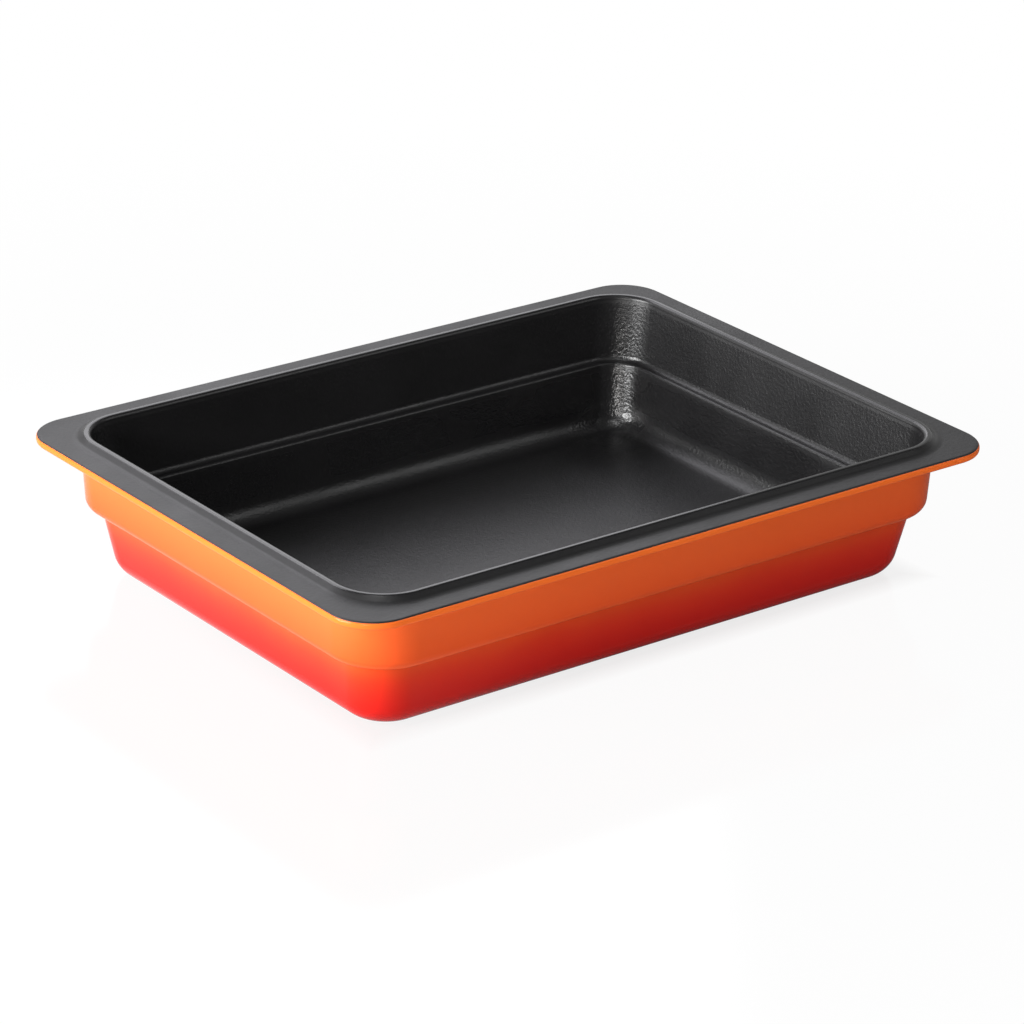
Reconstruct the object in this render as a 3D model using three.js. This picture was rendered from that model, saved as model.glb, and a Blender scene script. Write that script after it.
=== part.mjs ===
// Hotel pan of enamelled cast iron: one casting, and the coats of enamel fired onto it.
// Millimetres, +Z up. The pan stands on Z = 0 with its long side along X and its middle at the origin.
import * as THREE from 'three';

// Sizes of the finished pan. Insets are measured inwards from the edge of the rim.
const panLength = 325;
const panWidth = 245.6;
const rimCornerRadius = 19.3;
const rimEdgeRadius = 1.5;
const flangeTopHeight = 60.8;
const flangeThickness = 3.6;
const flangeRootFillet = 3;

// Upper band of the wall, under the flange.
const bandInset = 11.8;
const bandDraftDegrees = 2.6;
const bandCornerRadius = 25;
const wallThickness = 4.6;

// Shoulder, where the wall steps inwards, and the ledge that it leaves inside.
const shoulderHeight = 30;
const shoulderStep = 6.4;
const shoulderEdgeRadius = 5.2;
const shoulderRootFillet = 1;
const ledgeThickness = 3.4;
const ledgeRootFillet = 3;
const ledgeEdgeRadius = 2.5;

// Lower wall, base and floor.
const lowerDraftDegrees = 9.7;
const baseEdgeRadius = 11;
const baseCornerRadius = 7.6;
const floorThickness = 5;
const floorFillet = 9;
const floorCornerRadius = 5;

// Raised lip round the mouth, with a sloping outer side.
const lipRise = 2.6;
const lipTopWidth = 2.8;
const lipSlopeRun = 3.4;
const lipFootFillet = 5;
const lipOuterEdgeRadius = 1.5;
const lipInnerEdgeRadius = 1.8;

// Fired enamel.
const enamelThickness = 0.45;

// Steps in an arc: a plan corner has twice planCornerSteps.
const planCornerSteps = 3;
const smallArcSteps = 3;
const largeArcSteps = 5;
const rimArcSteps = 4;

// The most of an edge that the roundings at its two ends take.
const roundedShare = 0.95;

// Colours of the iron and the enamels.
const ironColor = 0x55565a;
const blackEnamelColor = 0x2b2c30;
const orangeEnamelColor = 0xe8741c;
const redEnamelColor = 0xc2261d;
const baseEnamelColor = 0x1f1f22;

// The wall's faces, as insets at a height.
const flangeUnderside = flangeTopHeight - flangeThickness;
const bandSlope = Math.tan(THREE.MathUtils.degToRad(bandDraftDegrees));
const lowerSlope = Math.tan(THREE.MathUtils.degToRad(lowerDraftDegrees));
const bandFaceAt = (height) => bandInset + (flangeUnderside - height) * bandSlope;
const lowerFaceAt = (height) => (
  bandFaceAt(shoulderHeight) + shoulderStep + (shoulderHeight - height) * lowerSlope
);
const mouthFaceAt = (height) => bandFaceAt(height) + wallThickness;
const cavityFaceAt = (height) => lowerFaceAt(height) + wallThickness;

// Plan corners: every face of the wall is concentric with the band.
const lowerCornerRadius = bandCornerRadius - shoulderStep;
const mouthCornerRadius = bandCornerRadius - wallThickness;
const cavityCornerRadius = lowerCornerRadius - wallThickness;
const lipOuterCornerRadius = mouthCornerRadius + lipTopWidth;
const lipFootCornerRadius = lipOuterCornerRadius + lipSlopeRun;

const ledgeHeight = shoulderHeight + ledgeThickness;
const lipTopHeight = flangeTopHeight + lipRise;
const lipTopInset = mouthFaceAt(lipTopHeight) - lipTopWidth;

// A corner of the pan's section: its inset, height and plan radius, and how it is rounded.
function corner(name, inset, height, planRadius, rounding = 0, steps = 0) {
  return { name, inset, height, planRadius, rounding, steps };
}

// The finished section, from the floor out over the rim and down to the base.
const sectionCorners = [
  corner('floor', cavityFaceAt(floorThickness) + floorFillet, floorThickness,
    floorCornerRadius),
  corner('floorFillet', cavityFaceAt(floorThickness), floorThickness,
    cavityCornerRadius, floorFillet, largeArcSteps),
  corner('ledgeEdge', cavityFaceAt(ledgeHeight), ledgeHeight,
    cavityCornerRadius, ledgeEdgeRadius, smallArcSteps),
  corner('ledgeRoot', mouthFaceAt(ledgeHeight), ledgeHeight,
    mouthCornerRadius, ledgeRootFillet, smallArcSteps),
  corner('lipInnerEdge', mouthFaceAt(lipTopHeight), lipTopHeight,
    mouthCornerRadius, lipInnerEdgeRadius, smallArcSteps),
  corner('lipOuterEdge', lipTopInset, lipTopHeight,
    lipOuterCornerRadius, lipOuterEdgeRadius, smallArcSteps),
  corner('lipFoot', lipTopInset - lipSlopeRun, flangeTopHeight,
    lipFootCornerRadius, lipFootFillet, smallArcSteps),
  corner('rimTop', 0, flangeTopHeight,
    rimCornerRadius, rimEdgeRadius, rimArcSteps),
  corner('rimBottom', 0, flangeUnderside,
    rimCornerRadius, rimEdgeRadius, smallArcSteps),
  corner('flangeRoot', bandInset, flangeUnderside,
    bandCornerRadius, flangeRootFillet, smallArcSteps),
  corner('shoulderEdge', bandFaceAt(shoulderHeight), shoulderHeight,
    bandCornerRadius, shoulderEdgeRadius, largeArcSteps),
  corner('shoulderRoot', lowerFaceAt(shoulderHeight), shoulderHeight,
    lowerCornerRadius, shoulderRootFillet, smallArcSteps),
  corner('baseEdge', lowerFaceAt(0), 0,
    lowerCornerRadius, baseEdgeRadius, largeArcSteps),
  corner('base', lowerFaceAt(0) + baseEdgeRadius, 0,
    baseCornerRadius),
];

const pointOf = (at) => new THREE.Vector2(at.inset, at.height);

// How far a rounding reaches along the two edges that meet at a corner.
function roundingReach(before, at, after) {
  const toBefore = pointOf(before).sub(pointOf(at)).normalize();
  const toAfter = pointOf(after).sub(pointOf(at)).normalize();
  const halfAngle = Math.acos(toBefore.dot(toAfter)) / 2;
  return { toBefore, toAfter, halfAngle, reach: at.rounding / Math.tan(halfAngle) };
}

// The section as levels, with an arc at each corner. Where two roundings would not fit on the
// edge between them, both are reduced to fit.
function roundedSection(corners) {
  const last = corners.length - 1;
  const bends = corners.map((at, k) => (
    k > 0 && k < last ? roundingReach(corners[k - 1], at, corners[k + 1]) : null
  ));
  const share = corners.slice(1).map((at, k) => {
    const edge = pointOf(at).distanceTo(pointOf(corners[k]));
    const taken = (bends[k]?.reach ?? 0) + (bends[k + 1]?.reach ?? 0);
    return Math.min(1, (roundedShare * edge) / taken);
  });
  const levels = [];
  corners.forEach((at, k) => {
    if (!bends[k]) {
      levels.push({ name: at.name, step: 0, inset: at.inset, height: at.height, corner: at.planRadius });
      return;
    }
    const { toBefore, toAfter, halfAngle } = bends[k];
    const reach = bends[k].reach * Math.min(share[k - 1], share[k]);
    const radius = reach * Math.tan(halfAngle);
    const start = pointOf(at).addScaledVector(toBefore, reach);
    const end = pointOf(at).addScaledVector(toAfter, reach);
    const toCentre = toBefore.clone().add(toAfter).normalize();
    const centre = pointOf(at).addScaledVector(toCentre, radius / Math.sin(halfAngle));
    const startAngle = start.clone().sub(centre).angle();
    const endAngle = end.clone().sub(centre).angle();
    const clockwise = toBefore.cross(toAfter) > 0;
    const arc = new THREE.EllipseCurve(
      centre.x, centre.y, radius, radius, startAngle, endAngle, clockwise,
    );
    const startPlan = planRadiusOn(at, corners[k - 1], reach);
    const endPlan = planRadiusOn(at, corners[k + 1], reach);
    arc.getPoints(at.steps).forEach((point, step) => {
      const planRadius = THREE.MathUtils.lerp(startPlan, endPlan, step / at.steps);
      levels.push({ name: at.name, step, inset: point.x, height: point.y, corner: planRadius });
    });
  });
  return levels;
}

// Plan radius a little way from a corner, towards its neighbour.
function planRadiusOn(at, neighbour, reach) {
  const edge = pointOf(at).distanceTo(pointOf(neighbour));
  return THREE.MathUtils.lerp(at.planRadius, neighbour.planRadius, reach / edge);
}

// The same levels moved into the wall by the thickness of the enamel: the surface of the iron.
function ironSection(levels) {
  const edgeNormals = levels.slice(1).map((level, k) => {
    const along = pointOf(level).sub(pointOf(levels[k])).normalize();
    return new THREE.Vector2(-along.y, along.x);
  });
  return levels.map((level, k) => {
    const before = edgeNormals[Math.max(k - 1, 0)];
    const after = edgeNormals[Math.min(k, edgeNormals.length - 1)];
    const mitre = before.clone().add(after).divideScalar(1 + before.dot(after));
    const inset = level.inset + mitre.x * enamelThickness;
    const height = level.height + mitre.y * enamelThickness;
    return { inset, height, corner: level.corner + level.inset - inset };
  });
}

// One level of the pan: a rectangle with round corners.
function ringAt(level) {
  const radius = level.corner;
  const centreX = panLength / 2 - level.inset - radius;
  const centreY = panWidth / 2 - level.inset - radius;
  const ring = new THREE.Path();
  ring.absarc(centreX, centreY, radius, 0, Math.PI / 2);
  ring.absarc(-centreX, centreY, radius, Math.PI / 2, Math.PI);
  ring.absarc(-centreX, -centreY, radius, Math.PI, 1.5 * Math.PI);
  ring.absarc(centreX, -centreY, radius, 1.5 * Math.PI, 2 * Math.PI);
  return ring.getPoints(planCornerSteps);
}

// A solid through a run of levels. A run that doesn't join up ends in a flat cap at each end.
function loft(levels, joinsUp) {
  const rings = levels.map(ringAt);
  const around = rings[0].length;
  const positions = [];
  rings.forEach((ring, k) => {
    ring.forEach((point) => positions.push(point.x, point.y, levels[k].height));
  });
  const faces = [];
  const strips = joinsUp ? rings.length : rings.length - 1;
  for (let k = 0; k < strips; k += 1) {
    const here = k * around;
    const next = ((k + 1) % rings.length) * around;
    for (let j = 0; j < around; j += 1) {
      const turn = (j + 1) % around;
      faces.push(here + j, next + j, next + turn);
      faces.push(here + j, next + turn, here + turn);
    }
  }
  if (!joinsUp) {
    const lastRing = (rings.length - 1) * around;
    THREE.ShapeUtils.triangulateShape(rings[0], []).forEach(([a, b, c]) => faces.push(a, b, c));
    THREE.ShapeUtils.triangulateShape(rings[rings.length - 1], []).forEach(([a, b, c]) => {
      faces.push(lastRing + a, lastRing + c, lastRing + b);
    });
  }
  const geometry = new THREE.BufferGeometry();
  geometry.setAttribute('position', new THREE.Float32BufferAttribute(positions, 3));
  geometry.setIndex(faces);
  geometry.computeVertexNormals();
  return geometry;
}

const finished = roundedSection(sectionCorners);
const iron = ironSection(finished);
const levelOf = (name, step) => finished.findIndex((level) => level.name === name && level.step === step);

// Where one enamel ends and the next begins: half way round the rim's upper edge, under the
// shoulder's edge, and one step up the round edge of the base.
const rimBorder = levelOf('rimTop', rimArcSteps / 2);
const shoulderBorder = levelOf('shoulderEdge', largeArcSteps);
const footBorder = levelOf('baseEdge', largeArcSteps - 1);

// A coat lies between the finished surface and the iron, over a stretch of the section.
function coatLevels(first, last) {
  return [...finished.slice(first, last + 1), ...iron.slice(first, last + 1).reverse()];
}

function ironCasting() {
  const material = new THREE.MeshStandardMaterial({ color: ironColor, roughness: 0.75, metalness: 0.8 });
  return new THREE.Mesh(loft(iron, false), material);
}

// Satin black enamel: the inside, the lip and the top of the flange.
function interiorEnamel() {
  const material = new THREE.MeshStandardMaterial({ color: blackEnamelColor, roughness: 0.5, metalness: 0 });
  return new THREE.Mesh(loft(coatLevels(0, rimBorder), false), material);
}

// Glossy orange enamel: the edge and underside of the flange, and the upper band.
function orangeEnamel() {
  const material = new THREE.MeshStandardMaterial({ color: orangeEnamelColor, roughness: 0.2, metalness: 0 });
  return new THREE.Mesh(loft(coatLevels(rimBorder, shoulderBorder), true), material);
}

// Glossy red enamel: the lower wall.
function redEnamel() {
  const material = new THREE.MeshStandardMaterial({ color: redEnamelColor, roughness: 0.2, metalness: 0 });
  return new THREE.Mesh(loft(coatLevels(shoulderBorder, footBorder), true), material);
}

// Dark enamel: the base that the pan stands on.
function baseEnamel() {
  const material = new THREE.MeshStandardMaterial({ color: baseEnamelColor, roughness: 0.6, metalness: 0 });
  const levels = [...iron.slice(footBorder).reverse(), ...finished.slice(footBorder)];
  return new THREE.Mesh(loft(levels, false), material);
}

const pan = new THREE.Group();
pan.name = 'hotel_pan';
const pieces = {
  iron_casting: ironCasting(),
  interior_enamel: interiorEnamel(),
  orange_enamel: orangeEnamel(),
  red_enamel: redEnamel(),
  base_enamel: baseEnamel(),
};
for (const [name, piece] of Object.entries(pieces)) {
  piece.name = name;
  pan.add(piece);
}

export default pan;
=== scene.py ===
import bpy
import bmesh
import math
from mathutils import Matrix, Vector


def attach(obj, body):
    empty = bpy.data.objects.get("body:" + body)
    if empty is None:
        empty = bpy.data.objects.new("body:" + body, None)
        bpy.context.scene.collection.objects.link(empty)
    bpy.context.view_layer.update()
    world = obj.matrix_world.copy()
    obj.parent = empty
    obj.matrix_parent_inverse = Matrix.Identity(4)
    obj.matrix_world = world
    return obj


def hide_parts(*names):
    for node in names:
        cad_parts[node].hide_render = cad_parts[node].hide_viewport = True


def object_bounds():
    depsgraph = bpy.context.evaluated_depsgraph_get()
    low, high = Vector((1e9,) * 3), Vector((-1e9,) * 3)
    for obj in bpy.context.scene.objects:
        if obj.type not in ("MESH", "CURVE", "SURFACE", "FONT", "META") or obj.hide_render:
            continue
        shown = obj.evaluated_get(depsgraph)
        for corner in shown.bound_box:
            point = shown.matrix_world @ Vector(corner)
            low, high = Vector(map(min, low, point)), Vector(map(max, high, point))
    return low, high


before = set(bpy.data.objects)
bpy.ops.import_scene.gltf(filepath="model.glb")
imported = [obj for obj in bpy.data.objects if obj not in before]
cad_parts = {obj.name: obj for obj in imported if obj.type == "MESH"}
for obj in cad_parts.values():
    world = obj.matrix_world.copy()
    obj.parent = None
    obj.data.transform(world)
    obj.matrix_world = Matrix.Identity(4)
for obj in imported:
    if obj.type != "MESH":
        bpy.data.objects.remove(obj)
cadLow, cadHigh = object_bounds()
scene = bpy.context.scene
scene.view_settings.view_transform = "Standard"
print("frame loaded:", ", ".join(sorted(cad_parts)))

# Camera where the photographer stood, solved from the outlines.
cameraRig = {
    "place": (-1.0054, -1.3103, 0.7304),
    "aim": (-0.0029, -0.0068, 0.0300),
    "rollDegrees": 1.24,
    "lens": 150.88,
    "sensor": 36.0,
}


def turnTowards(place, aim):
    return (Vector(aim) - Vector(place)).to_track_quat("-Z", "Y").to_matrix()


def placeCamera(rig):
    cameraData = bpy.data.cameras.new("panCamera")
    cameraData.lens = rig["lens"]
    cameraData.sensor_width = rig["sensor"]
    camera = bpy.data.objects.new("panCamera", cameraData)
    roll = Matrix.Rotation(math.radians(rig["rollDegrees"]), 3, "Z")
    turn = turnTowards(rig["place"], rig["aim"]) @ roll
    camera.matrix_world = Matrix.Translation(Vector(rig["place"])) @ turn.to_4x4()
    scene.collection.objects.link(camera)
    scene.camera = camera


placeCamera(cameraRig)

# The pan's section in millimetres: insets from the rim edge, and heights. The drafts are in degrees.
section = {
    "rimCorner": 19.3, "rimEdge": 1.5,
    "flangeTop": 60.8, "flangeThick": 3.6, "flangeRoot": 3.0,
    "bandInset": 11.8, "bandDraft": 2.6, "bandCorner": 25.0, "wall": 4.6,
    "shoulder": 30.0, "shoulderStep": 6.4, "shoulderEdge": 5.2, "shoulderRoot": 1.0,
    "ledgeThick": 3.9, "ledgeRoot": 2.5, "ledgeEdge": 1.3, "wallGain": 2.2,
    "lowerDraft": 9.7, "baseEdge": 11.0, "baseCorner": 7.6,
    "floorThick": 5.0, "floorFillet": 9.0, "floorCorner": 5.0,
    "lipRise": 2.6, "lipTop": 2.8, "lipRun": 3.4,
    "lipFoot": 5.0, "lipOuter": 1.5, "lipInner": 1.8,
    "coat": 0.45, "cornerSegments": 16, "spread": 100.0, "flatMargin": 2.0,
}
millimetres = 1000.0               # in a metre
halfLength = cadHigh.x * millimetres
halfWidth = cadHigh.y * millimetres
flatWeight = 90                    # how far the large faces outweigh the roundings in the shading

# Which enamel a stretch of the section carries.
black, orange, red, dark = range(4)

# What a level of the section holds, in order. Its enamel is the one from there on.
insetAt, heightAt, planAt, roundingAt, segmentsAt, enamelAt = range(6)


def panLevels(s):
    underside = s["flangeTop"] - s["flangeThick"]
    lipTop = s["flangeTop"] + s["lipRise"]
    ledge = s["shoulder"] + s["ledgeThick"]
    bandSlope = math.tan(math.radians(s["bandDraft"]))
    lowerSlope = math.tan(math.radians(s["lowerDraft"]))

    def bandFace(height):
        return s["bandInset"] + (underside - height) * bandSlope

    def lowerFace(height):
        below = (s["shoulder"] - height) * lowerSlope
        return bandFace(s["shoulder"]) + s["shoulderStep"] + below

    mouth = s["bandCorner"] - s["wall"]                # plan radii, all about the same centres
    lower = s["bandCorner"] - s["shoulderStep"]
    cavity = lower - s["wall"]
    lipInner = bandFace(lipTop) + s["wall"]
    lipOuter = lipInner - s["lipTop"]
    lipFoot = lipOuter - s["lipRun"]
    lipCorner = mouth + s["lipTop"] + s["lipRun"]
    margin = s["flatMargin"]                           # keeps the roundings beside a flat even
    ledgeRoot = bandFace(ledge) + s["wall"] + s["wallGain"]      # the wall thickens down to the ledge
    floorEdge = lowerFace(s["floorThick"]) + s["wall"]
    flangeMeet = s["bandInset"] - s["flangeRoot"]
    shoulderMeet = lowerFace(s["shoulder"]) - s["shoulderRoot"]
    return [
        (floorEdge + s["floorFillet"], s["floorThick"], s["floorCorner"], 0.0, 0, black),
        (floorEdge, s["floorThick"], cavity, s["floorFillet"], 12, black),
        (lowerFace(ledge) + s["wall"], ledge, cavity, s["ledgeEdge"], 8, black),
        (ledgeRoot, ledge, mouth - s["wallGain"], s["ledgeRoot"], 8, black),
        (lipInner, lipTop, mouth, s["lipInner"], 8, black),
        (lipOuter, lipTop, mouth + s["lipTop"], s["lipOuter"], 6, black),
        (lipFoot, s["flangeTop"], lipCorner, s["lipFoot"], 8, black),
        (lipFoot - margin, s["flangeTop"], lipCorner + margin, 0.0, 0, black),
        (margin, s["flangeTop"], s["rimCorner"] - margin, 0.0, 0, black),
        (0.0, s["flangeTop"], s["rimCorner"], s["rimEdge"], 8, orange),
        (0.0, underside, s["rimCorner"], s["rimEdge"], 6, orange),
        (margin, underside, s["rimCorner"] - margin, 0.0, 0, orange),
        (flangeMeet, underside, s["bandCorner"] + s["flangeRoot"], 0.0, 0, orange),
        (s["bandInset"], underside, s["bandCorner"], s["flangeRoot"], 8, orange),
        (bandFace(s["shoulder"]), s["shoulder"], s["bandCorner"], s["shoulderEdge"], 10, orange),
        (shoulderMeet, s["shoulder"], lower + s["shoulderRoot"], 0.0, 0, red),
        (lowerFace(s["shoulder"]), s["shoulder"], lower, s["shoulderRoot"], 4, red),
        (lowerFace(0.0), 0.0, lower, s["baseEdge"], 12, red),
        (lowerFace(0.0) + s["baseEdge"], 0.0, s["baseCorner"], 0.0, 0, dark),
    ]


def levelRing(bm, level):          # a rectangle with its four corners rounded off
    inset = level[insetAt]
    known = set(bm.verts)
    corners = bmesh.ops.create_grid(bm, x_segments=1, y_segments=1, size=1.0)["verts"]
    bmesh.ops.scale(bm, vec=(halfLength - inset, halfWidth - inset, 1.0), verts=corners)
    bmesh.ops.bevel(bm, geom=corners, offset=level[planAt], offset_type="OFFSET",
                    affect="VERTICES", segments=section["cornerSegments"], profile=0.5, material=-1)
    return [v for v in bm.verts if v not in known]


def ringEdges(ring):
    mine = set(ring)
    return list({e for v in ring for e in v.link_edges if e.other_vert(v) in mine})


def roundingReach(before, at, after):              # how wide a bevel gives the rounding's radius
    corner = Vector(at[:2])
    halfAngle = (Vector(before[:2]) - corner).angle(Vector(after[:2]) - corner) / 2.0
    return at[roundingAt] / math.tan(halfAngle)


def panSkin():
    levels = panLevels(section)
    bm = bmesh.new()
    rings = [levelRing(bm, level) for level in levels]
    rings[-1][0].link_faces[0].material_index = dark
    middle = [ring[0].link_faces[0] for ring in rings[1:-1]]
    bmesh.ops.delete(bm, geom=middle, context="FACES_ONLY")
    for k, ring in enumerate(rings):                   # spread out, so that neighbours bridge unturned
        bmesh.ops.translate(bm, vec=(0.0, 0.0, -k * section["spread"]), verts=ring)
    for k in range(len(rings) - 1):
        edges = ringEdges(rings[k]) + ringEdges(rings[k + 1])
        for face in bmesh.ops.bridge_loops(bm, edges=edges)["faces"]:
            face.material_index = levels[k][enamelAt]
    for k, ring in enumerate(rings):
        rise = levels[k][heightAt] + k * section["spread"]
        bmesh.ops.translate(bm, vec=(0.0, 0.0, rise), verts=ring)
    for k in range(1, len(rings) - 1):
        if levels[k][roundingAt] > 0.0:
            bmesh.ops.bevel(bm, geom=ringEdges(rings[k]), offset=roundingReach(*levels[k - 1:k + 2]),
                            offset_type="OFFSET", affect="EDGES", segments=levels[k][segmentsAt],
                            profile=0.5, material=-1, loop_slide=True)
    bmesh.ops.scale(bm, vec=(1.0 / millimetres,) * 3, verts=bm.verts[:])
    bmesh.ops.recalc_face_normals(bm, faces=bm.faces[:])
    return bm


def skinPiece(bm, name, node):
    for face in bm.faces:
        face.material_index = 0
        face.smooth = True
    mesh = bpy.data.meshes.new(name)
    bm.to_mesh(mesh)
    bm.free()
    piece = bpy.data.objects.new(name, mesh)
    scene.collection.objects.link(piece)
    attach(piece, "root")
    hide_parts(node)
    print("piece made:", name, len(mesh.polygons), "faces")
    return piece


def evenShading(piece):
    flat = piece.modifiers.new("flatShading", "WEIGHTED_NORMAL")
    flat.weight = flatWeight


def coatPiece(skin, name, enamel, node):
    bm = skin.copy()
    others = [f for f in bm.faces if f.material_index != enamel]
    bmesh.ops.delete(bm, geom=others, context="FACES")
    piece = skinPiece(bm, name, node)
    shell = piece.modifiers.new("coat", "SOLIDIFY")
    shell.thickness = section["coat"] / millimetres
    shell.offset = -1.0
    shell.use_even_offset = True
    evenShading(piece)
    return piece


def ironPiece(skin):               # the whole skin, drawn in by the thickness of the coats
    piece = skinPiece(skin.copy(), "ironCasting", "iron_casting")
    drawIn = piece.modifiers.new("underCoats", "DISPLACE")
    drawIn.direction = "NORMAL"
    drawIn.mid_level = 0.0
    drawIn.strength = -section["coat"] / millimetres
    evenShading(piece)
    return piece


skin = panSkin()
casting = ironPiece(skin)
blackCoat = coatPiece(skin, "blackInterior", black, "interior_enamel")
orangeCoat = coatPiece(skin, "orangeBand", orange, "orange_enamel")
redCoat = coatPiece(skin, "redLowerWall", red, "red_enamel")
darkCoat = coatPiece(skin, "darkBase", dark, "base_enamel")
skin.free()


def feed(tree, value, socket):     # an output is linked, a number or colour is set
    if isinstance(value, bpy.types.NodeSocket):
        tree.links.new(value, socket)
    elif isinstance(value, tuple):
        socket.default_value = (*value, 1.0)
    else:
        socket.default_value = value


def addMath(tree, operation, first, second=0.0, clamp=False):
    node = tree.nodes.new("ShaderNodeMath")
    node.operation = operation
    node.use_clamp = clamp
    for socket, value in zip(node.inputs, (first, second)):
        feed(tree, value, socket)
    return node.outputs[0]


def addNoise(tree, vector, scale, detail, roughness=0.5):
    node = tree.nodes.new("ShaderNodeTexNoise")
    tree.links.new(vector, node.inputs["Vector"])
    for label, value in (("Scale", scale), ("Detail", detail), ("Roughness", roughness)):
        feed(tree, value, node.inputs[label])
    return node.outputs["Fac"]


def mixColor(tree, mask, first, second):
    node = tree.nodes.new("ShaderNodeMix")
    node.data_type = "RGBA"
    for label, value in (("Factor", mask), ("A", first), ("B", second)):
        feed(tree, value, node.inputs[label])
    return node.outputs["Result"]


def mixValue(tree, mask, first, second):
    node = tree.nodes.new("ShaderNodeMix")
    for label, value in (("Factor", mask), ("A", first), ("B", second)):
        feed(tree, value, node.inputs[label])
    return node.outputs["Result"]


def mixShader(tree, mask, first, second):
    node = tree.nodes.new("ShaderNodeMixShader")
    for socket, value in zip(node.inputs, (mask, first, second)):
        tree.links.new(value, socket)
    return node.outputs[0]


def mapValue(tree, value, fromLow, fromHigh, toLow, toHigh):
    node = tree.nodes.new("ShaderNodeMapRange")
    ends = {"Value": value, "From Min": fromLow, "From Max": fromHigh, "To Min": toLow, "To Max": toHigh}
    for label, end in ends.items():
        feed(tree, end, node.inputs[label])
    return node.outputs["Result"]


def objectPlace(tree):
    return tree.nodes.new("ShaderNodeTexCoord").outputs["Object"]


def splitVector(tree, vector):
    node = tree.nodes.new("ShaderNodeSeparateXYZ")
    tree.links.new(vector, node.inputs[0])
    return node.outputs


# Shader groups that the enamels share.
firedNoise = {
    "pebbleDetail": 1.0, "grainDetail": 2.0, "cloudScale": 28.0, "cloudDetail": 3.0,
    "cellScale": 170.0, "pinholeSize": 0.06,
}
noiseRange = (0.3, 0.7)            # the part of a noise that a roughness or a drift runs over


def newGroup(name, inputs, outputs):
    group = bpy.data.node_groups.new(name, "ShaderNodeTree")
    for way, labels in (("INPUT", inputs), ("OUTPUT", outputs)):
        for label in labels:
            group.interface.new_socket(label, in_out=way, socket_type="NodeSocketFloat")
    start = group.nodes.new("NodeGroupInput")
    end = group.nodes.new("NodeGroupOutput")
    return group, start.outputs, end.inputs


def firedSurfaceGroup(noise):      # pebbles, fine grain, slow clouds, pinholes
    group, given, wanted = newGroup("firedSurface", ["Pebble Scale", "Grain Scale"],
                                    ["Pebble", "Grain", "Cloud", "Pinhole"])
    place = objectPlace(group)
    pebble = addNoise(group, place, given["Pebble Scale"], noise["pebbleDetail"])
    grain = addNoise(group, place, given["Grain Scale"], noise["grainDetail"])
    cloud = addNoise(group, place, noise["cloudScale"], noise["cloudDetail"])
    cells = group.nodes.new("ShaderNodeTexVoronoi")
    cells.inputs["Scale"].default_value = noise["cellScale"]
    group.links.new(place, cells.inputs["Vector"])
    pinhole = addMath(group, "LESS_THAN", cells.outputs["Distance"], noise["pinholeSize"])
    for socket, value in zip(wanted, (pebble, grain, cloud, pinhole)):
        group.links.new(value, socket)
    return group


def heightBandGroup():             # 1 between two heights, fading out over a soft margin
    group, given, wanted = newGroup("heightBand", ["Low", "High", "Soft"], ["Mask"])
    height = splitVector(group, objectPlace(group))["Z"]
    above = addMath(group, "SUBTRACT", height, given["Low"])
    below = addMath(group, "SUBTRACT", given["High"], height)
    above = addMath(group, "DIVIDE", above, given["Soft"])
    below = addMath(group, "DIVIDE", below, given["Soft"])
    mask = addMath(group, "MINIMUM", above, below, clamp=True)
    group.links.new(mask, wanted["Mask"])
    return group


firedSurface = firedSurfaceGroup(firedNoise)
heightBand = heightBandGroup()


def placeGroup(tree, group, values):
    node = tree.nodes.new("ShaderNodeGroup")
    node.node_tree = group
    for socket, value in zip(node.inputs, values):
        socket.default_value = value
    return node.outputs


def bandMask(tree, band):
    return placeGroup(tree, heightBand, band)["Mask"]


def firedMaterial(name, finish):
    material = bpy.data.materials.new(name)
    material.use_nodes = True
    tree = material.node_tree
    surface = placeGroup(tree, firedSurface, (finish["pebbleScale"], finish["grainScale"]))
    return material, tree, tree.nodes["Principled BSDF"], surface


def variedRough(tree, noise, finish):
    return mapValue(tree, noise, *noiseRange, finish["roughLow"], finish["roughHigh"])


def bumpNormal(tree, shader, height, distance):
    node = tree.nodes.new("ShaderNodeBump")
    node.inputs["Distance"].default_value = distance
    tree.links.new(height, node.inputs["Height"])
    tree.links.new(node.outputs["Normal"], shader.inputs["Normal"])
    return node.outputs["Normal"]


# Satin black enamel, pebbled like the iron under it: smoother and more matt on the flange, smoother on
# the floor, rubbed bright along the lip's ridge, glossier on the lower walls and where it pools in the
# four corners. A band is a low height, a high one and a soft margin, in metres.
blackFinish = {
    "deep": (0.0052, 0.0050, 0.0054), "pale": (0.0088, 0.0085, 0.0092),
    "pinhole": (0.003, 0.003, 0.003), "ior": 1.55, "roughLow": 0.338, "roughHigh": 0.418,
    "pebbleScale": 700.0, "grainScale": 1700.0, "pebbleDepth": 0.00015, "grainShare": 0.50,
    "flangeBand": (0.0600, 0.0660, 0.0015), "flangePebbles": 0.17,
    "flatBand": (0.0600, 0.0616, 0.0005), "flangeMatt": 0.08,
    "ridgeBand": (0.0628, 0.0660, 0.0006), "ridgePolish": 0.20,
    "lowerBand": (0.0125, 0.0330, 0.0030), "lowerPolish": 0.12,
    "floorBand": (0.0040, 0.0075, 0.0020), "floorPebbles": 0.45,
    "footBand": (-0.0100, 0.0180, 0.0080), "footSpread": 0.018,
    "cornerX": 0.119, "cornerY": 0.084, "cornerSoft": 0.011, "cornerTop": 0.058, "cornerFade": 0.020,
    "cornerPolish": 0.11, "cornerPebbles": 1.5, "cornerCoat": 0.85, "coatRough": 0.28,
}


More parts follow.
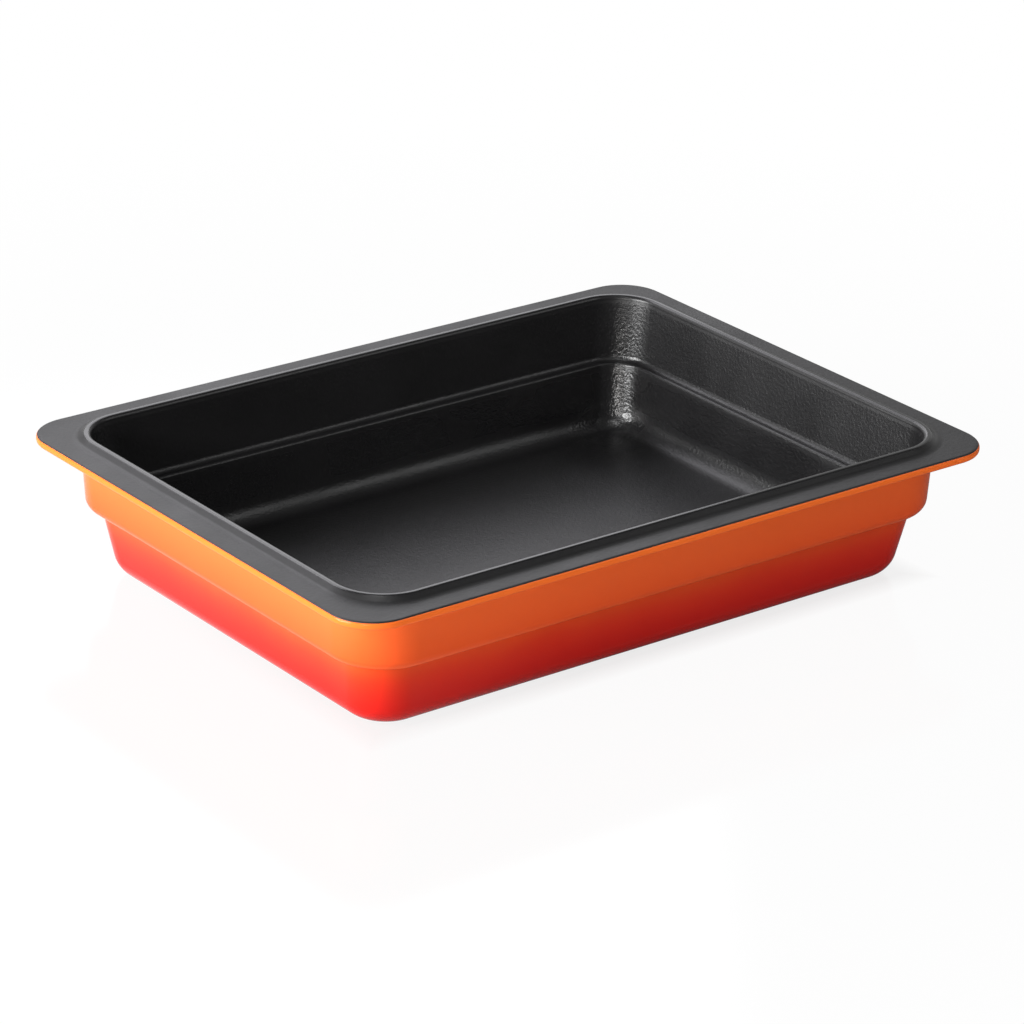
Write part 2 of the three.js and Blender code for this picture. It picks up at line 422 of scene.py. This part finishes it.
def cornerMask(tree, finish):      # 1 in the four corners, wider at the foot, fading out up the wall
    split = splitVector(tree, objectPlace(tree))
    along = addMath(tree, "SUBTRACT", addMath(tree, "ABSOLUTE", split["X"]), finish["cornerX"])
    across = addMath(tree, "SUBTRACT", addMath(tree, "ABSOLUTE", split["Y"]), finish["cornerY"])
    spread = addMath(tree, "MULTIPLY", bandMask(tree, finish["footBand"]), finish["footSpread"])
    inside = addMath(tree, "ADD", addMath(tree, "MINIMUM", along, across), spread)
    mask = addMath(tree, "DIVIDE", inside, finish["cornerSoft"], clamp=True)
    below = addMath(tree, "SUBTRACT", finish["cornerTop"], split["Z"])
    below = addMath(tree, "DIVIDE", below, finish["cornerFade"], clamp=True)
    return addMath(tree, "MULTIPLY", mask, below)


def blackEnamel(finish):
    material, tree, shader, surface = firedMaterial("blackEnamel", finish)
    shader.inputs["IOR"].default_value = finish["ior"]
    shader.inputs["Coat Roughness"].default_value = finish["coatRough"]
    corner = cornerMask(tree, finish)
    cloudy = mixColor(tree, surface["Cloud"], finish["deep"], finish["pale"])
    colour = mixColor(tree, surface["Pinhole"], cloudy, finish["pinhole"])
    tree.links.new(colour, shader.inputs["Base Color"])

    ridge = addMath(tree, "MULTIPLY", bandMask(tree, finish["ridgeBand"]), finish["ridgePolish"])
    matt = addMath(tree, "MULTIPLY", bandMask(tree, finish["flatBand"]), finish["flangeMatt"])
    lower = addMath(tree, "MULTIPLY", bandMask(tree, finish["lowerBand"]), finish["lowerPolish"])
    pooled = addMath(tree, "MULTIPLY", corner, finish["cornerPolish"])
    rough = addMath(tree, "SUBTRACT", variedRough(tree, surface["Cloud"], finish), ridge)
    rough = addMath(tree, "ADD", rough, matt)
    rough = addMath(tree, "SUBTRACT", rough, addMath(tree, "MAXIMUM", pooled, lower))
    tree.links.new(rough, shader.inputs["Roughness"])
    coat = addMath(tree, "MULTIPLY", corner, finish["cornerCoat"])
    tree.links.new(coat, shader.inputs["Coat Weight"])

    depth = mixValue(tree, corner, 1.0, finish["cornerPebbles"])
    depth = mixValue(tree, bandMask(tree, finish["floorBand"]), depth, finish["floorPebbles"])
    depth = mixValue(tree, bandMask(tree, finish["flangeBand"]), depth, finish["flangePebbles"])
    grain = addMath(tree, "MULTIPLY", surface["Grain"], finish["grainShare"])
    height = addMath(tree, "ADD", surface["Pebble"], grain)
    height = addMath(tree, "MULTIPLY", height, depth)
    normal = bumpNormal(tree, shader, height, finish["pebbleDepth"])
    tree.links.new(normal, shader.inputs["Coat Normal"])
    return material


# What the two gloss enamels have in common.
glossFinish = {
    "shine": 0.16, "roughLow": 0.13, "roughHigh": 0.21,
    "pebbleScale": 190.0, "grainScale": 900.0, "peelDepth": 0.00004,
}


def glossMaterial(name, finish):
    material, tree, shader, surface = firedMaterial(name, finish)
    shader.inputs["Specular IOR Level"].default_value = finish["shine"]
    tree.links.new(variedRough(tree, surface["Cloud"], finish), shader.inputs["Roughness"])
    bumpNormal(tree, shader, surface["Pebble"], finish["peelDepth"])
    return material, tree, shader, surface


# Gloss orange enamel: paler upwards, with a painted highlight, a paler orange, along the rim and the
# shoulder.
orangeFinish = {
    **glossFinish,
    "deep": (0.72, 0.074, 0.014), "bright": (0.77, 0.086, 0.017),
    "upper": (0.85, 0.150, 0.028), "edge": (0.95, 0.17, 0.020),
    "riseBand": (0.0310, 0.2000, 0.0260),
    "rimBand": (0.0576, 0.0606, 0.0009), "rimHighlight": 0.8,
    "shoulderBand": (0.0300, 0.0334, 0.0014), "shoulderHighlight": 0.25,
}


def orangeEnamel(finish):
    material, tree, shader, surface = glossMaterial("orangeEnamel", finish)
    cloudy = mixColor(tree, surface["Cloud"], finish["deep"], finish["bright"])
    sprayed = mixColor(tree, bandMask(tree, finish["riseBand"]), cloudy, finish["upper"])
    # Painted highlight: the edge colour, a paler orange, is laid along the rim and, more weakly, the
    # shoulder.
    rim = addMath(tree, "MULTIPLY", bandMask(tree, finish["rimBand"]), finish["rimHighlight"])
    shoulder = addMath(tree, "MULTIPLY", bandMask(tree, finish["shoulderBand"]), finish["shoulderHighlight"])
    edgeHighlightMask = addMath(tree, "MAXIMUM", rim, shoulder)
    colour = mixColor(tree, edgeHighlightMask, sprayed, finish["edge"])
    tree.links.new(colour, shader.inputs["Base Color"])
    return material


# Gloss red enamel, sprayed from below over the orange: orange-red under the shoulder, deep red at the
# foot. The shades go by height, and the spray line drifts a little.
redFinish = {
    **glossFinish,
    "shades": ((0.0, (0.48, 0.007, 0.006)), (0.0125, (0.57, 0.013, 0.008)),
               (0.0220, (0.65, 0.030, 0.010)), (0.0300, (0.71, 0.078, 0.012))),
    "drift": 0.0012,
}


def redEnamel(finish):
    material, tree, shader, surface = glossMaterial("redEnamel", finish)
    drift = mapValue(tree, surface["Cloud"], *noiseRange, -finish["drift"], finish["drift"])
    height = addMath(tree, "ADD", splitVector(tree, objectPlace(tree))["Z"], drift)
    top = finish["shades"][-1][0]
    ramp = tree.nodes.new("ShaderNodeValToRGB")
    ramp.color_ramp.interpolation = "B_SPLINE"
    tree.links.new(addMath(tree, "DIVIDE", height, top), ramp.inputs["Fac"])
    stops = ramp.color_ramp.elements
    for place, shade in finish["shades"][1:-1]:
        stops.new(place / top)
    for stop, (place, shade) in zip(stops, finish["shades"]):
        stop.position = place / top
        stop.color = (*shade, 1.0)
    tree.links.new(ramp.outputs["Color"], shader.inputs["Base Color"])
    return material


# Dark matt enamel under the base, rubbed in streaks where it slides on shelves.
darkFinish = {
    "deep": (0.012, 0.012, 0.014), "rubbed": (0.045, 0.044, 0.043),
    "roughLow": 0.45, "roughHigh": 0.70,
    "pebbleScale": 420.0, "grainScale": 1700.0, "pebbleDepth": 0.00010,
    "streakStretch": (1.0, 14.0, 1.0), "streakScale": 34.0, "streakDetail": 6.0, "streakRough": 0.62,
    "rubLow": 0.56, "rubHigh": 0.74,
}


def darkEnamel(finish):
    material, tree, shader, surface = firedMaterial("darkEnamel", finish)
    stretch = tree.nodes.new("ShaderNodeMapping")
    stretch.inputs["Scale"].default_value = finish["streakStretch"]
    tree.links.new(objectPlace(tree), stretch.inputs["Vector"])
    streak = addNoise(tree, stretch.outputs["Vector"], finish["streakScale"], finish["streakDetail"],
                      finish["streakRough"])
    rubbed = mapValue(tree, streak, finish["rubLow"], finish["rubHigh"], 0.0, 1.0)
    colour = mixColor(tree, rubbed, finish["deep"], finish["rubbed"])
    tree.links.new(colour, shader.inputs["Base Color"])
    tree.links.new(variedRough(tree, surface["Cloud"], finish), shader.inputs["Roughness"])
    bumpNormal(tree, shader, surface["Pebble"], finish["pebbleDepth"])
    return material


# The iron under the coats, as cast in sand.
ironFinish = {
    "deep": (0.060, 0.062, 0.066), "pale": (0.115, 0.117, 0.120), "metallic": 0.85,
    "roughLow": 0.55, "roughHigh": 0.80,
    "pebbleScale": 700.0, "grainScale": 2400.0, "sandDepth": 0.00015,
}


def castIron(finish):
    material, tree, shader, surface = firedMaterial("castIron", finish)
    shader.inputs["Metallic"].default_value = finish["metallic"]
    colour = mixColor(tree, surface["Cloud"], finish["deep"], finish["pale"])
    tree.links.new(colour, shader.inputs["Base Color"])
    tree.links.new(variedRough(tree, surface["Grain"], finish), shader.inputs["Roughness"])
    bumpNormal(tree, shader, surface["Pebble"], finish["sandDepth"])
    return material


def wear(piece, material):
    piece.data.materials.clear()
    piece.data.materials.append(material)


wear(blackCoat, blackEnamel(blackFinish))
wear(orangeCoat, orangeEnamel(orangeFinish))
wear(redCoat, redEnamel(redFinish))
wear(darkCoat, darkEnamel(darkFinish))
wear(casting, castIron(ironFinish))
print("enamels made")

# Studio with a white backdrop behind the pan and a dim room in front and overhead. The floor glows white
# for the camera, and keeps a shade along the front and right foot; in reflections its glow is dimmed on
# the front and right side, a painted shade. A big soft light stands at the left, two hang behind, a
# small one is low in front on the left, and a fill and a top light are weak.
studio = {
    "floorHalf": 4.0, "floorColor": (0.70, 0.70, 0.70), "shineRough": 0.12,
    "nearReach": 0.24, "farReach": 0.60, "glowNear": 0.985, "floorGloss": 0.03,
    "glowMirrored": 0.90, "mirrorDark": 0.12, "mirrorLight": 1.0, "darkSide": -0.08, "lightSide": 0.20,
    "footX": 0.136, "footY": 0.097, "contactReach": 0.012, "contactShare": 0.92, "footGloss": 0.12,
    "surround": 0.25, "backdrop": 0.60, "room": 0.04, "roomFront": -0.25, "roomBack": 0.35,
    "ceiling": 0.10, "ceilingLow": 0.35, "ceilingHigh": 0.80,
    "aim": (0.0, 0.0, 0.03),
}
plain, cool, warm = (1.0, 1.0, 1.0), (0.96, 0.95, 1.0), (1.0, 0.98, 0.96)
lights = {
    "keyLight": {"place": (-1.50, 0.25, 0.46), "size": 1.0, "power": 56.0, "tint": plain},
    "backLight": {"place": (-0.15, 1.05, 0.95), "size": 0.7, "power": 4.0, "tint": cool},
    "lowBackLight": {"place": (0.44, 0.94, 0.74), "size": 0.8, "power": 3.3, "tint": cool},
    "sideLight": {"place": (-1.34, -1.05, 0.48), "size": 0.22, "power": 7.5, "tint": warm},
    "fillLight": {"place": (0.73, -0.78, 0.77), "size": 0.6, "power": 2.3, "tint": plain},
    "topLight": {"place": (-0.30, -0.14, 1.10), "size": 0.3, "power": 1.2, "tint": plain},
}


def mirrorRays(tree, rays):        # 1 for rays that bring the background's mirror image
    return addMath(tree, "MAXIMUM", rays["Is Glossy Ray"], rays["Is Transmission Ray"])


def softLight(name, place, size, power, tint):
    lamp = bpy.data.lights.new(name, "AREA")
    lamp.shape = "SQUARE"
    lamp.size = size
    lamp.energy = power
    lamp.color = tint
    light = bpy.data.objects.new(name, lamp)
    turn = turnTowards(place, studio["aim"])
    light.matrix_world = Matrix.Translation(Vector(place)) @ turn.to_4x4()
    scene.collection.objects.link(light)


def footShade(tree, place):        # the floor's shaded side, and the strip of it along the foot
    split = splitVector(tree, place)
    along = addMath(tree, "SUBTRACT", addMath(tree, "ABSOLUTE", split["X"]), studio["footX"])
    across = addMath(tree, "SUBTRACT", addMath(tree, "ABSOLUTE", split["Y"]), studio["footY"])
    fromFoot = addMath(tree, "MAXIMUM", along, across)
    near = mapValue(tree, fromFoot, 0.0, studio["contactReach"], 1.0, 0.0)
    side = addMath(tree, "SUBTRACT", split["Y"], split["X"])     # grows to the left and back
    shade = mapValue(tree, side, studio["darkSide"], studio["lightSide"], 1.0, 0.0)
    return shade, addMath(tree, "MULTIPLY", near, shade)


def floorMaterial():
    material = bpy.data.materials.new("studioWhite")
    material.use_nodes = True
    tree = material.node_tree
    tree.nodes.clear()
    paper = tree.nodes.new("ShaderNodeBsdfDiffuse")
    paper.inputs["Color"].default_value = (*studio["floorColor"], 1.0)
    shine = tree.nodes.new("ShaderNodeBsdfGlossy")
    shine.inputs["Roughness"].default_value = studio["shineRough"]
    glow = tree.nodes.new("ShaderNodeEmission")
    glow.inputs["Color"].default_value = (*plain, 1.0)
    place = objectPlace(tree)
    reach = tree.nodes.new("ShaderNodeVectorMath")
    reach.operation = "LENGTH"
    tree.links.new(place, reach.inputs[0])
    outwards = (reach.outputs["Value"], studio["nearReach"], studio["farReach"])
    shade, contact = footShade(tree, place)
    share = mapValue(tree, *outwards, studio["glowNear"], 1.0)
    share = addMath(tree, "MULTIPLY", share, mixValue(tree, contact, 1.0, studio["contactShare"]))
    gloss = mapValue(tree, *outwards, studio["floorGloss"], 0.0)
    gloss = mixValue(tree, contact, gloss, studio["footGloss"])

    rays = tree.nodes.new("ShaderNodeLightPath").outputs
    mirror = mirrorRays(tree, rays)
    # Painted shade: seen in reflections, the floor's glow is dimmed on the front and right side.
    level = mixValue(tree, shade, studio["mirrorLight"], studio["mirrorDark"])
    tree.links.new(mixValue(tree, mirror, 1.0, level), glow.inputs["Strength"])
    mirrored = addMath(tree, "MULTIPLY", mirror, studio["glowMirrored"])
    seen = addMath(tree, "MAXIMUM", rays["Is Camera Ray"], mirrored)
    lit = mixShader(tree, addMath(tree, "MULTIPLY", seen, share), paper.outputs[0], glow.outputs[0])
    glossy = mixShader(tree, gloss, lit, shine.outputs[0])
    out = tree.nodes.new("ShaderNodeOutputMaterial")
    tree.links.new(glossy, out.inputs["Surface"])
    return material


def whiteFloor():
    bm = bmesh.new()
    bmesh.ops.create_grid(bm, x_segments=1, y_segments=1, size=studio["floorHalf"])
    mesh = bpy.data.meshes.new("studioFloor")
    bm.to_mesh(mesh)
    bm.free()
    floor = bpy.data.objects.new("studioFloor", mesh)
    scene.collection.objects.link(floor)
    mesh.materials.append(floorMaterial())


def whiteSurround():
    world = bpy.data.worlds.new("studioSurround")
    world.use_nodes = True
    scene.world = world
    tree = world.node_tree
    back = tree.nodes["Background"]
    back.inputs["Color"].default_value = (*plain, 1.0)
    split = splitVector(tree, tree.nodes.new("ShaderNodeTexCoord").outputs["Generated"])
    walls = mapValue(tree, split["Y"], studio["roomFront"], studio["roomBack"],
                     studio["room"], studio["backdrop"])
    overhead = mapValue(tree, split["Z"], studio["ceilingLow"], studio["ceilingHigh"], 0.0, 1.0)
    room = mixValue(tree, overhead, walls, studio["ceiling"])
    rays = tree.nodes.new("ShaderNodeLightPath").outputs
    mirrored = mixValue(tree, mirrorRays(tree, rays), studio["surround"], room)
    strength = mixValue(tree, rays["Is Camera Ray"], mirrored, 1.0)
    tree.links.new(strength, back.inputs["Strength"])


whiteFloor()
whiteSurround()
for name, lamp in lights.items():
    softLight(name, **lamp)
print("studio lit")
